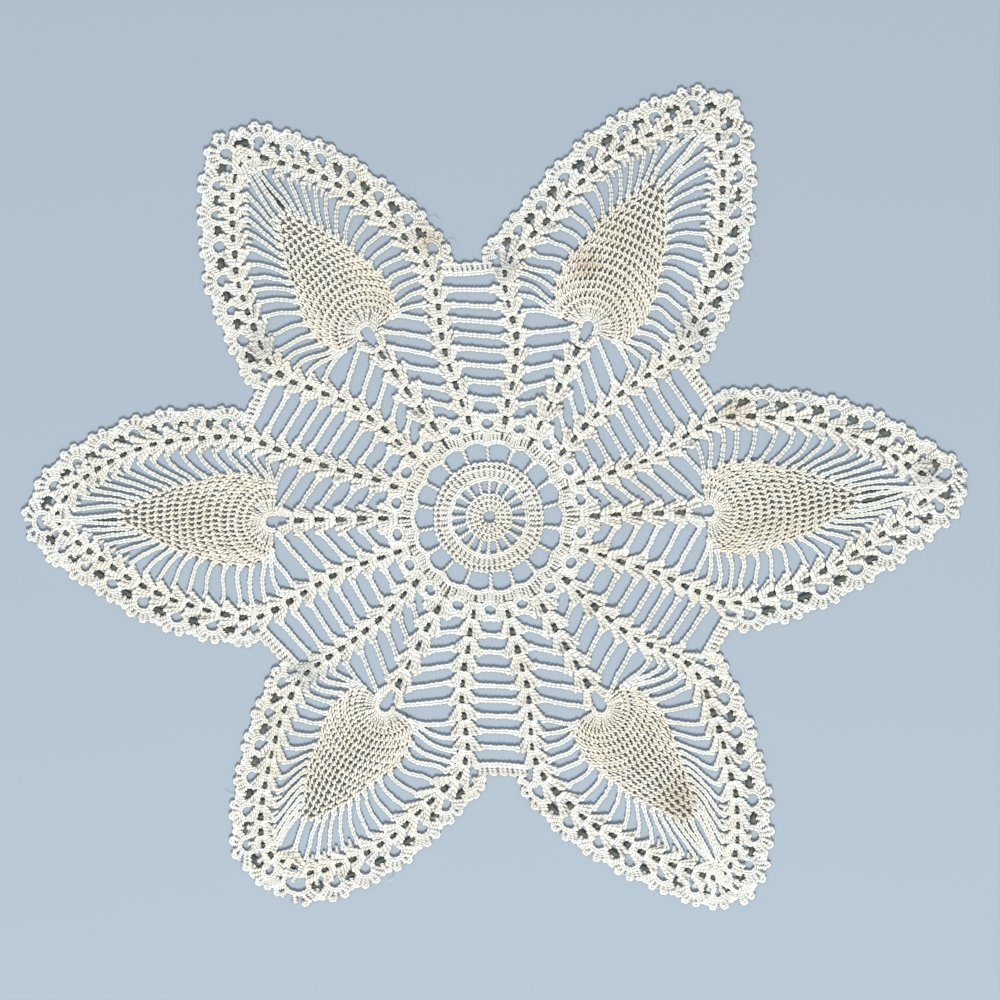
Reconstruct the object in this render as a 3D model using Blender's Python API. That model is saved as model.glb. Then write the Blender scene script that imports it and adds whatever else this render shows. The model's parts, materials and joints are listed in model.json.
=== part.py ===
"""Lace doily: a round of six crocheted pineapple petals, worked in one piece in cotton.

The cloth lies flat.  It is one sheet of worked cotton with its gaps cut through.  The crochet
chart comes first: a ring of posts, eighteen columns of shells, and in each petal an eye, a
pineapple of rows that narrow to a point, strands from each row to the rim, and scallops round
the outside.  The chart's rows then lie where this cloth's rows lie, so that each petal leans and
spreads in its own way.

Plan sizes are in millimetres from the middle of the cloth's box, +X to the right and +Y away.
"""

import math
import random

import bpy

MM = 0.001                      # the plan is in mm, the model in metres

# ---- the sheet ---------------------------------------------------------------------------------
THICKNESS = 1.8                 # worked cotton, pressed
STRAND = 1.9                    # width of one chain
SEED = 2405

# ---- the middle: ring of posts and eighteen columns of shells ------------------------------------
RING_CENTRE = (-3.4, -7.8)
COLUMNS = 18
FIRST_COLUMN_AT = 1.0           # heading of the first column, degrees
MIDDLE_HOLE = (2.1, 2.7)        # half sizes of the hole that the work starts from
POST_RING = (24.2, 31.4)        # the tall posts stand between these radii
POST_WIDTH = 2.4
POST_ARCH = 1.6                 # rise of a gap's top between two posts
FIRST_SHELL = 36.0              # first shells of the side columns, from the ring's centre
FIRST_BASE_SHELL = 38.0         # first shells of the six columns that end at an eye

# ---- a shell and its edging ----------------------------------------------------------------------
SHELL_HALF = 5.2                # half a shell, across its column
SHELL_DENT = 1.0                # how far a gap reaches in between two shells
BAR_WIDTH = 5.0                 # the covered bar across a valley
# rows between the scallops, which span every second row: even ones up the clockwise side and odd
# ones up the other, and closer together on the left petal's clockwise side
EVEN = (11.15, 13.3, 15.3, 17.3, 19.4, 21.5, 23.4)
ODD = (11.15, 12.3, 14.2, 16.2, 18.2, 20.3, 22.4)
CLOSE = (11.15, 13.1, 14.8, 16.6, 18.6, 20.7, 22.7)
SCALLOP_REACH = ((11, 6.3), (14, 7.5), (20, 8.2), (25, 8.8))    # row, and how far a scallop stands out

# ---- rows -----------------------------------------------------------------------------------------
VALLEY_ROW = 11                 # two petals part here
EYE_ROW = 7                     # the base column's shell that is the eye
FAN_ROW = 8                     # long stitches fanned round the eye
LAST_ROW = 24                   # last row of the pineapple
STRAND_BOW = 0.38               # how strongly a strand keeps its way at both ends, share of its length
CHAIN_DROP = 0.25               # rows by which a ladder's chain lies below the middle of its shells
EYE_HALF = 2.3
FAN_REACH = 9.7                 # length of the fan's stitches, from the eye's middle

# degrees from a pineapple's middle line: half the arc of a row, and the way its strand leaves
PINE_SPREAD = ((8, 98), (9, 95), (10, 83), (11, 69), (13, 47), (14.5, 34), (16, 25), (18, 18),
               (20, 12), (22, 7), (24, 3))
STRAND_LEAVES = ((8, 108), (10, 98), (13, 84), (16, 66), (19, 42), (22, 20), (24, 6))

# one line for each petal, anticlockwise from the right-hand one
PETALS = (
    # name, eye, pineapple's point, tip shell, rows to the tip, reach of the scallops, next bar's place
    ("right", (88.6, -5.2), (151.6, 0.6), (184.0, 5.7), (25, 25), (1.12, 0.95), 0.0),
    ("upper right", (38.2, 72.0), (68.5, 132.9), (89.0, 158.5), (26, 26), (1.05, 1.0), 0.0),
    ("upper left", (-54.6, 69.9), (-89.9, 119.1), (-106.7, 143.0), (25, 25), (1.0, 1.1), 0.0),
    ("left", (-94.5, -9.4), (-157.9, -6.9), (-184.8, -8.6), (25, 25), (1.05, 1.0), 0.0),
    ("lower left", (-46.6, -86.7), (-80.6, -134.2), (-87.8, -152.7), (25, 24), (0.95, 1.0), 0.0),
    ("lower right", (43.7, -87.1), (81.1, -134.2), (94.5, -158.2), (25, 25), (0.92, 1.18), 2.4),
)
# rows between the scallops of each petal's two sides, from the bar to the tip's scallop
SCALLOP_ENDS = (
    (EVEN + (24.8,), ODD + (24.1,)),
    (EVEN + (25.4,), ODD + (24.2, 25.9)),
    (EVEN + (24.8,), ODD + (24.1,)),
    (CLOSE + (24.3,), ODD + (24.1,)),
    (EVEN + (24.8,), ODD),
    (EVEN + (24.8,), ODD + (24.1,)),
)

# where the middle of the shells lies at six rows of each petal's two sides, clockwise side first
RIM_ROWS = (6, 11, 14, 17, 20, 23)
RIMS = (
    # row 6, row 11, row 14, row 17, row 20, row 23
    ((68.9, -31.7), (96.6, -43.5), (117.2, -39.3), (139.0, -29.6), (157.5, -17.8), (173.9, -5.2)),
    ((63.4, 16.6), (92.8, 33.8), (117.2, 33.8), (139.0, 30.4), (158.3, 23.3), (173.9, 13.2)),
    ((48.3, 41.4), (74.8, 60.3), (83.6, 76.7), (90.7, 96.4), (94.1, 117.4), (94.5, 138.8)),
    ((8.4, 63.6), (3.4, 96.0), (17.2, 112.3), (31.5, 129.2), (47.9, 144.3), (65.9, 153.5)),
    ((-22.3, 63.6), (-27.3, 94.3), (-39.9, 111.5), (-57.1, 124.9), (-73.9, 135.9), (-92.4, 141.3)),
    ((-60.9, 39.3), (-92.8, 53.1), (-102.9, 74.1), (-108.8, 91.3), (-110.9, 111.1), (-110.9, 128.7)),
    ((-74.8, 14.5), (-106.3, 25.4), (-125.6, 25.4), (-146.2, 22.5), (-163.8, 14.5), (-178.1, 4.4)),
    ((-70.6, -33.4), (-101.2, -49.8), (-123.9, -46.4), (-144.5, -39.3), (-162.1, -27.9), (-177.2, -17.4)),
    ((-56.3, -56.9), (-81.1, -74.1), (-89.5, -90.1), (-95.3, -109.4), (-98.7, -128.7), (-97.9, -146.8)),
    ((-14.7, -79.6), (-13.4, -111.9), (-29.4, -128.3), (-44.9, -142.6), (-62.2, -151.8), (-80.2, -156.9)),
    ((12.6, -79.6), (16.8, -111.9), (31.9, -130.0), (50.0, -142.6), (68.9, -151.8), (87.8, -158.5)),
    ((54.6, -56.5), (81.5, -70.3), (91.6, -91.8), (97.4, -111.9), (101.2, -132.5), (99.5, -150.6)),
)
CLOCKWISE, ANTI = 0, 1          # the two sides of a petal

# ---- what is cut through ------------------------------------------------------------------------
BASE_GAP_ROWS = range(2, 8)     # ladder of chains between a base column and its neighbours
VALLEY_GAP_ROWS = range(2, 11)  # ladder between two petals
STRAND_GAP_ROWS = range(8, 22, 2)   # between every second strand, which stand for two
PLAIN_SCALLOPS = (2, 3)         # next to a valley the scallops' holes are small and stay uncut
LADDER_STOPS = (0.14, 0.86)     # a ladder gap's corners along its chains
STRAND_STOPS = (0.1, 0.5, 0.92)
# a scallop's hole and its outer line: share along it, and out from the shells as a share of its reach
SCALLOP_HOLE_SHAPE = ((-0.2, 0.1), (0.2, 0.1), (0.18, 0.4), (0.0, 0.52), (-0.18, 0.4))
SCALLOP_SHAPE = ((0.0, 0.66), (0.07, 0.83), (0.21, 0.95), (0.36, 0.93), (0.5, 1.0), (0.64, 0.93),
                 (0.79, 0.96), (0.93, 0.83))
SCALLOP_UNEVEN = 0.04           # share of the reach
BAR_STOPS = (0.3, 0.5, 0.7)     # the bar's outer corners along it
BAR_UNEVEN = 0.3


# ---- plane geometry -----------------------------------------------------------------------------
def shift(point, way, distance):
    return (point[0] + way[0] * distance, point[1] + way[1] * distance)


def mix(a, b, share):
    return (a[0] + (b[0] - a[0]) * share, a[1] + (b[1] - a[1]) * share)


def towards(a, b):
    """Unit direction from a to b."""
    run = math.hypot(b[0] - a[0], b[1] - a[1])
    return ((b[0] - a[0]) / run, (b[1] - a[1]) / run)


def polar(centre, radius, degrees):
    angle = math.radians(degrees)
    return (centre[0] + radius * math.cos(angle), centre[1] + radius * math.sin(angle))


def bezier(a, b, c, d, share):
    return mix(mix(mix(a, b, share), mix(b, c, share), share),
               mix(mix(b, c, share), mix(c, d, share), share), share)


def stepped(table, value):
    """A short table's second column, read between its lines."""
    for (low, at_low), (high, at_high) in zip(table, table[1:]):
        if value <= high:
            return at_low + (at_high - at_low) * (value - low) / (high - low)
    return table[-1][1]


def smooth_curve(knots, points, at):
    """A curve through points at uneven knots, its slope at each taken from both neighbours."""
    i = max(j for j in range(len(knots) - 1) if j == 0 or knots[j] <= at)
    span = knots[i + 1] - knots[i]
    share = (at - knots[i]) / span

    def slope(j):
        a, b = max(j - 1, 0), min(j + 1, len(knots) - 1)
        return [(points[b][k] - points[a][k]) / (knots[b] - knots[a]) for k in (0, 1)]

    start, end = slope(i), slope(i + 1)
    return tuple(
        points[i][k] * (1 + 2 * share) * (1 - share) ** 2
        + points[i + 1][k] * (3 - 2 * share) * share ** 2
        + span * share * (1 - share) * (start[k] * (1 - share) - end[k] * share)
        for k in (0, 1))


# ---- the chart, laid as this cloth lies -----------------------------------------------------------
class Petal:
    """One petal: its base column, its rim of shells, its pineapple and its strands."""

    def __init__(self, index):
        _, self.eye, point, tip, self.rows, self.reach, self.bar = PETALS[index]
        self.ends = SCALLOP_ENDS[index]
        self.heading = FIRST_COLUMN_AT + 60.0 * index
        self.length = math.dist(self.eye, point)
        self.lean = math.degrees(math.atan2(point[1] - self.eye[1], point[0] - self.eye[0]))
        # the rim runs up the clockwise side, over the tip shell and down the other side
        column = 360.0 / COLUMNS
        start, end = (polar(RING_CENTRE, FIRST_SHELL, self.heading + turn)
                      for turn in (-column, column))
        up, down = RIMS[2 * index], RIMS[2 * index + 1]
        self.knots = [1, *RIM_ROWS, self.rows[CLOCKWISE]]
        self.knots += [self.along(ANTI, row) for row in (*reversed(RIM_ROWS), 1)]
        self.points = [start, *up, tip, *reversed(down), end]

    def along(self, hand, row):
        """Place on the rim's run of a row on one side."""
        return row if hand == CLOCKWISE else sum(self.rows) - row

    def shell(self, run):
        """A shell's middle, and the way out of the petal there."""
        here = smooth_curve(self.knots, self.points, run)
        ahead = towards(smooth_curve(self.knots, self.points, run - 0.1),
                        smooth_curve(self.knots, self.points, run + 0.1))
        return here, (ahead[1], -ahead[0])

    def off_rim(self, run, outward):
        here, out = self.shell(run)
        return shift(here, out, outward)

    def base(self, row, sideways=0.0):
        """A point on the column that ends at the eye."""
        start = polar(RING_CENTRE, FIRST_BASE_SHELL, self.heading)
        way = towards(start, self.eye)
        here = mix(start, self.eye, (row - 1) / (EYE_ROW - 1))
        return shift(here, (-way[1], way[0]), sideways)

    def row_end(self, hand, row):
        """Where a strand leaves: the base column's edge, or the end of a pineapple row."""
        turn = (-1, 1)[hand]
        if row <= EYE_ROW:
            return self.base(row - CHAIN_DROP, turn * SHELL_HALF * 0.9)
        reach = FAN_REACH + (self.length - FAN_REACH) * (row - FAN_ROW) / (LAST_ROW - FAN_ROW)
        return polar(self.eye, reach, self.lean + turn * stepped(PINE_SPREAD, row))

    def strand(self, hand, row, share):
        """A point on a row's chain, from the inner column or the pineapple to the rim."""
        start = self.row_end(hand, row)
        if row <= EYE_ROW:
            end = self.off_rim(self.along(hand, row - CHAIN_DROP), -SHELL_HALF)
            return mix(start, end, share)
        run = self.along(hand, row)
        end = self.off_rim(run, -SHELL_HALF)
        turn = (-1, 1)[hand]
        leave = polar((0, 0), 1.0, self.lean + turn * stepped(STRAND_LEAVES, row))
        arrive = self.shell(run)[1]
        bow = STRAND_BOW * math.dist(start, end)
        return bezier(start, shift(start, leave, bow), shift(end, arrive, -bow), end, share)

    def edging(self):
        """Runs of the rim where one scallop ends and the next begins, the tip's among them."""
        up, down = ([self.along(hand, row) for row in self.ends[hand]] for hand in (CLOCKWISE, ANTI))
        return up + down[::-1]

    def trim(self, run, out):
        """A point in the edging, out from the shells by a share of a scallop's reach there."""
        hand = CLOCKWISE if run < self.rows[CLOCKWISE] else ANTI
        reach = self.reach[hand] * stepped(SCALLOP_REACH, self.along(hand, run))
        return self.off_rim(run, SHELL_HALF + reach * out)


# ---- gaps and outline ------------------------------------------------------------------------------
def gap_between(near, far, near_half, far_half, ends, dent=SHELL_DENT):
    """A gap between two chains, each given as a function of the share along it."""
    middle = [mix(near(share), far(share), 0.5) for share in (0, 1)]
    along = towards(*middle)
    across = [towards(near(share), far(share)) for share in ends]
    low = [shift(near(share), way, near_half) for share, way in zip(ends, across)]
    high = [shift(far(share), way, -far_half) for share, way in zip(ends, across)]
    return [shift(middle[0], along, -dent), *low, shift(middle[1], along, dent), *reversed(high)]


def valley_chain(petal, following, row, share):
    """A point on the chain from one petal's rim to the next one's, or on the bar over the last."""
    if row < VALLEY_ROW:
        row -= CHAIN_DROP
    near = petal.off_rim(petal.along(ANTI, row), SHELL_HALF)
    far = following.off_rim(following.along(CLOCKWISE, row), SHELL_HALF)
    return mix(near, far, share)


def base_gap(petal, hand, row):
    near, far = (lambda share, r=r: petal.strand(hand, r, share) for r in (row, row + 1))
    return gap_between(near, far, STRAND / 2, STRAND / 2, LADDER_STOPS)


def strand_gap(petal, hand, row):
    near, far = (lambda share, r=r: petal.strand(hand, r, share) for r in (row, row + 2))
    return gap_between(near, far, STRAND, STRAND, STRAND_STOPS, 0.0)


def valley_gap(petal, following, row):
    near, far = (lambda share, r=r: valley_chain(petal, following, r, share) for r in (row, row + 1))
    far_half = BAR_WIDTH / 2 - petal.bar if row + 1 == VALLEY_ROW else STRAND / 2
    return gap_between(near, far, STRAND / 2, far_half, LADDER_STOPS)


def scallop_gap(petal, start, end):
    """The hole under a scallop: a flat side to the shells, a round one to the edging."""
    middle = (start + end) / 2
    return [petal.trim(middle + run * (end - start), out) for run, out in SCALLOP_HOLE_SHAPE]


def scallop_edge(petal, start, end, chance):
    """A scallop's outer line from its first notch: stitches with a picot between each pair."""
    return [petal.trim(start + (end - start) * share, out + chance.uniform(-SCALLOP_UNEVEN, SCALLOP_UNEVEN))
            for share, out in SCALLOP_SHAPE]


def outline(petals, chance):
    points = []
    for petal, following in zip(petals, petals[1:] + petals[:1]):
        runs = petal.edging()
        edges = [scallop_edge(petal, start, end, chance) for start, end in zip(runs, runs[1:])]
        points += sum(edges, [])[1:]
        # across the valley, along the outer side of its bar
        for share in BAR_STOPS:
            here = valley_chain(petal, following, VALLEY_ROW, share)
            outward = towards(RING_CENTRE, here)
            uneven = chance.uniform(-BAR_UNEVEN, BAR_UNEVEN)
            points.append(shift(here, outward, petal.bar + BAR_WIDTH / 2 + uneven))
    return points


def middle_gaps():
    """The hole the work starts from, and the pointed gaps between the tall posts."""
    turns = (math.tau * i / 8 for i in range(8))
    gaps = [[(RING_CENTRE[0] + MIDDLE_HOLE[0] * math.cos(turn),
              RING_CENTRE[1] + MIDDLE_HOLE[1] * math.sin(turn)) for turn in turns]]
    inner, outer = POST_RING
    half = 180.0 / COLUMNS
    low = half - math.degrees(POST_WIDTH / 2 / inner)
    high = half - math.degrees(POST_WIDTH / 2 / outer)
    for i in range(COLUMNS):
        heading = FIRST_COLUMN_AT + 2 * half * i
        corners = ((inner, -low), (outer - POST_ARCH, -high), (outer, 0.0),
                   (outer - POST_ARCH, high), (inner, low))
        gaps.append([polar(RING_CENTRE, radius, heading + turn) for radius, turn in corners])
    return gaps


def all_gaps(petals):
    gaps = middle_gaps()
    for petal, following in zip(petals, petals[1:] + petals[:1]):
        gaps.append([polar(petal.eye, EYE_HALF, petal.lean + 60 * i) for i in range(6)])
        for hand in (CLOCKWISE, ANTI):
            gaps += [base_gap(petal, hand, row) for row in BASE_GAP_ROWS]
            gaps += [strand_gap(petal, hand, row) for row in STRAND_GAP_ROWS]
        gaps += [valley_gap(petal, following, row) for row in VALLEY_GAP_ROWS]
        runs = petal.edging()
        for start, end in list(zip(runs, runs[1:]))[PLAIN_SCALLOPS[0]:-PLAIN_SCALLOPS[1]]:
            gaps.append(scallop_gap(petal, start, end))
    return gaps


# ---- the model ------------------------------------------------------------------------------------
def cotton():
    material = bpy.data.materials.new("cotton")
    material.use_nodes = True
    shader = material.node_tree.nodes["Principled BSDF"]
    shader.inputs["Base Color"].default_value = (0.78, 0.70, 0.55, 1.0)
    shader.inputs["Roughness"].default_value = 0.9
    return material


def closed_line(curve, points, middle):
    """One closed line of the plan, moved so that the middle of the cloth's box is at the origin."""
    line = curve.splines.new("POLY")
    line.points.add(len(points) - 1)
    line.use_cyclic_u = True
    for place, (x, y) in zip(line.points, points):
        place.co = ((x - middle[0]) * MM, (y - middle[1]) * MM, 0.0, 1.0)


def doily():
    """The sheet: its outline and all its gaps filled as one flat plate, its underside at z = 0."""
    petals = [Petal(index) for index in range(len(PETALS))]
    edge = outline(petals, random.Random(SEED))
    middle = [(min(p[k] for p in edge) + max(p[k] for p in edge)) / 2 for k in (0, 1)]
    curve = bpy.data.curves.new("doily", "CURVE")
    curve.dimensions = "2D"
    curve.fill_mode = "BOTH"
    curve.extrude = THICKNESS / 2 * MM
    for points in [edge] + all_gaps(petals):
        closed_line(curve, points, middle)
    curve.materials.append(cotton())
    sheet = bpy.data.objects.new("doily", curve)
    sheet.location.z = THICKNESS / 2 * MM
    return sheet


def build():
    for old in list(bpy.data.objects):
        bpy.data.objects.remove(old)
    cloth = bpy.data.collections.new("Lace doily")
    bpy.context.scene.collection.children.link(cloth)
    cloth.objects.link(doily())


build()
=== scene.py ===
"""Lace doily: the crochet itself, stitch by stitch, laid where the flat CAD sheet lies.

The chart and its tables are the same as the part's.  Each round and row of the chart gives a list
of stitches with a place, a heading and a size, and one Geometry Nodes tree puts the worked stitch
of each kind there.  The cloth is made as its middle, its six petals and their six edgings, so that
no mesh is too heavy.

Plan sizes are in millimetres, +X to the right and +Y away.
"""

import json
import math
import random

import bmesh
import bpy
import numpy as np
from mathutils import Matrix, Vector

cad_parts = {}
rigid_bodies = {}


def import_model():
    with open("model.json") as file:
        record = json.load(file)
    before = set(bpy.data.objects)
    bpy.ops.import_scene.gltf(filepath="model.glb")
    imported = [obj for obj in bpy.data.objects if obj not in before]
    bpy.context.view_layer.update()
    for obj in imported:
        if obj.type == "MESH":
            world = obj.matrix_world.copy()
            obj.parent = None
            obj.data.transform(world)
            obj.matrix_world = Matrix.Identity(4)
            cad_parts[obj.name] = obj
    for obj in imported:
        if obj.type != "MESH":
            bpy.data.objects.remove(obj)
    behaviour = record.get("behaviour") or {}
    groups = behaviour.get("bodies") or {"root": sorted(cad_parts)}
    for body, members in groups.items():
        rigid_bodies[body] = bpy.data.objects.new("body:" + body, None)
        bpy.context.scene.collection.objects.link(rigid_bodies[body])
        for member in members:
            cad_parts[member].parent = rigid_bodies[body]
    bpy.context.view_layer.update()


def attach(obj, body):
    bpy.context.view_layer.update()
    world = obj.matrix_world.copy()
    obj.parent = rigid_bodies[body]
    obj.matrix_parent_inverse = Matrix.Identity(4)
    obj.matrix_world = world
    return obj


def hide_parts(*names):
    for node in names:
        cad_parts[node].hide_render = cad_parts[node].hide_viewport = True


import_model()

MM = 0.001
SEED = 2405
PLAN_MIDDLE = (-0.77, 0.4)      # middle of the cloth's box in the plan

# ---- the middle: the ring and its columns of shells ----
RING_CENTRE = (-3.4, -7.8)
COLUMNS = 18
COLUMN_TURN = 360.0 / COLUMNS   # degrees from one column to the next
FIRST_COLUMN_AT = 1.0           # heading of the first column, degrees
FIRST_SHELL = 36.0              # first shells of the side columns, from the ring's centre
FIRST_BASE_SHELL = 38.0         # first shells of the six columns that end at an eye

# ---- a shell and its edging ----
SHELL_HALF = 5.2                # half a shell, across its column
BAR_WIDTH = 5.0                 # the covered bar across a valley
# rows between the scallops, which span every second row: even ones up the clockwise side and odd
# ones up the other, and closer together on the left petal's clockwise side
EVEN = (11.15, 13.3, 15.3, 17.3, 19.4, 21.5, 23.4)
ODD = (11.15, 12.3, 14.2, 16.2, 18.2, 20.3, 22.4)
CLOSE = (11.15, 13.1, 14.8, 16.6, 18.6, 20.7, 22.7)
SCALLOP_REACH = ((11, 6.3), (14, 7.5), (20, 8.2), (25, 8.8))    # row, and how far one stands out

# ---- rows ----
VALLEY_ROW = 11                 # two petals part here
EYE_ROW = 7                     # the base column's shell that is the eye
FAN_ROW = 8                     # long stitches fanned round the eye
LAST_ROW = 24                   # last row of the pineapple
STRAND_BOW = 0.38               # share of a strand over which it keeps its way at both ends
CHAIN_DROP = 0.25               # rows by which a ladder's chain lies below the middle of its shells
LADDER_FOOT = 0.9               # share of half a base shell at which a ladder's chain starts
CORNER_PULL = 0.3               # how far the first strands are drawn to the corner beside the fan
FAN_REACH = 9.7                 # length of the fan's stitches, from the eye's middle

# degrees from a pineapple's middle line: half the arc of a row, and the way its strand leaves
PINE_SPREAD = ((8, 98), (9, 95), (10, 83), (11, 69), (13, 47), (14.5, 34), (16, 25), (18, 18),
               (20, 12), (22, 7), (24, 3))
STRAND_LEAVES = ((8, 104), (9, 96), (10, 84), (12, 60), (15, 44), (18, 32), (21, 18), (24, 5))
STRAIGHT_ROWS = ((8, 1.0), (16, 1.0), (20, 0.4), (24, 0.1))     # share of the bow kept at the rim

# one line for each petal, anticlockwise from the right-hand one
PETALS = (
    # name, eye, pineapple's point, tip shell, rows to the tip, scallops' reach, next bar's place
    ("right", (88.6, -5.2), (151.6, 0.6), (184.0, 5.7), (25, 25), (1.12, 0.95), 0.0),
    ("upper right", (38.2, 72.0), (68.5, 132.9), (89.0, 158.5), (26, 26), (1.05, 1.0), 0.0),
    ("upper left", (-54.6, 69.9), (-89.9, 119.1), (-106.7, 143.0), (25, 25), (1.0, 1.1), 0.0),
    ("left", (-94.5, -9.4), (-157.9, -6.9), (-184.8, -8.6), (25, 25), (1.05, 1.0), 0.0),
    ("lower left", (-46.6, -86.7), (-80.6, -134.2), (-87.8, -152.7), (25, 24), (0.95, 1.0), 0.0),
    ("lower right", (43.7, -87.1), (81.1, -134.2), (94.5, -158.2), (25, 25), (0.92, 1.18), 2.4),
)
# rows between the scallops of each petal's two sides, from the bar to the tip's scallop
SCALLOP_ENDS = (
    (EVEN + (24.8,), ODD + (24.1,)),
    (EVEN + (25.4,), ODD + (24.2, 25.9)),
    (EVEN + (24.8,), ODD + (24.1,)),
    (CLOSE + (24.3,), ODD + (24.1,)),
    (EVEN + (24.8,), ODD),
    (EVEN + (24.8,), ODD + (24.1,)),
)

# where the middle of the shells lies at six rows of each petal's two sides, clockwise side first
RIM_ROWS = (6, 11, 14, 17, 20, 23)
RIMS = (
    # row 6, row 11, row 14, row 17, row 20, row 23
    ((68.9, -31.7), (96.6, -43.5), (117.2, -39.3), (139.0, -29.6), (157.5, -17.8), (173.9, -5.2)),
    ((63.4, 16.6), (92.8, 33.8), (117.2, 33.8), (139.0, 30.4), (158.3, 23.3), (173.9, 13.2)),
    ((48.3, 41.4), (74.8, 60.3), (83.6, 76.7), (90.7, 96.4), (94.1, 117.4), (94.5, 138.8)),
    ((8.4, 63.6), (3.4, 96.0), (17.2, 112.3), (31.5, 129.2), (47.9, 144.3), (65.9, 153.5)),
    ((-22.3, 63.6), (-27.3, 94.3), (-39.9, 111.5), (-57.1, 124.9), (-73.9, 135.9), (-92.4, 141.3)),
    ((-60.9, 39.3), (-92.8, 53.1), (-102.9, 74.1), (-108.8, 91.3), (-110.9, 111.1),
     (-110.9, 128.7)),
    ((-74.8, 14.5), (-106.3, 25.4), (-125.6, 25.4), (-146.2, 22.5), (-163.8, 14.5), (-178.1, 4.4)),
    ((-70.6, -33.4), (-101.2, -49.8), (-123.9, -46.4), (-144.5, -39.3), (-162.1, -27.9),
     (-177.2, -17.4)),
    ((-56.3, -56.9), (-81.1, -74.1), (-89.5, -90.1), (-95.3, -109.4), (-98.7, -128.7),
     (-97.9, -146.8)),
    ((-14.7, -79.6), (-13.4, -111.9), (-29.4, -128.3), (-44.9, -142.6), (-62.2, -151.8),
     (-80.2, -156.9)),
    ((12.6, -79.6), (16.8, -111.9), (31.9, -130.0), (50.0, -142.6), (68.9, -151.8), (87.8, -158.5)),
    ((54.6, -56.5), (81.5, -70.3), (91.6, -91.8), (97.4, -111.9), (101.2, -132.5), (99.5, -150.6)),
)
CLOCKWISE, ANTI = 0, 1          # the two sides of a petal
SIDE_TURN = (-1, 1)             # and the way each turns off the petal's middle line
SLOPE_STEP = 0.1                # rows to either side from which the rim's way is read


# ---- plane geometry ----
def shift(point, way, distance):
    return (point[0] + way[0] * distance, point[1] + way[1] * distance)


def mix(a, b, share):
    return (a[0] + (b[0] - a[0]) * share, a[1] + (b[1] - a[1]) * share)


def towards(a, b):
    """Unit direction from a to b."""
    run = math.hypot(b[0] - a[0], b[1] - a[1])
    return ((b[0] - a[0]) / run, (b[1] - a[1]) / run)


def polar(centre, radius, degrees):
    angle = math.radians(degrees)
    return (centre[0] + radius * math.cos(angle), centre[1] + radius * math.sin(angle))


def bezier(a, b, c, d, share):
    return mix(mix(mix(a, b, share), mix(b, c, share), share),
               mix(mix(b, c, share), mix(c, d, share), share), share)


def stepped(table, value):
    """A short table's second column, read between its lines."""
    for (low, at_low), (high, at_high) in zip(table, table[1:]):
        if value <= high:
            return at_low + (at_high - at_low) * (value - low) / (high - low)
    return table[-1][1]


def smooth_curve(knots, points, at):
    """A curve through points at uneven knots, its slope at each taken from both neighbours."""
    i = max(j for j in range(len(knots) - 1) if j == 0 or knots[j] <= at)
    span = knots[i + 1] - knots[i]
    share = (at - knots[i]) / span

    def slope(j):
        a, b = max(j - 1, 0), min(j + 1, len(knots) - 1)
        return [(points[b][k] - points[a][k]) / (knots[b] - knots[a]) for k in (0, 1)]

    start, end = slope(i), slope(i + 1)
    return tuple(
        points[i][k] * (1 + 2 * share) * (1 - share) ** 2
        + points[i + 1][k] * (3 - 2 * share) * share ** 2
        + span * share * (1 - share) * (start[k] * (1 - share) - end[k] * share)
        for k in (0, 1))


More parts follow.
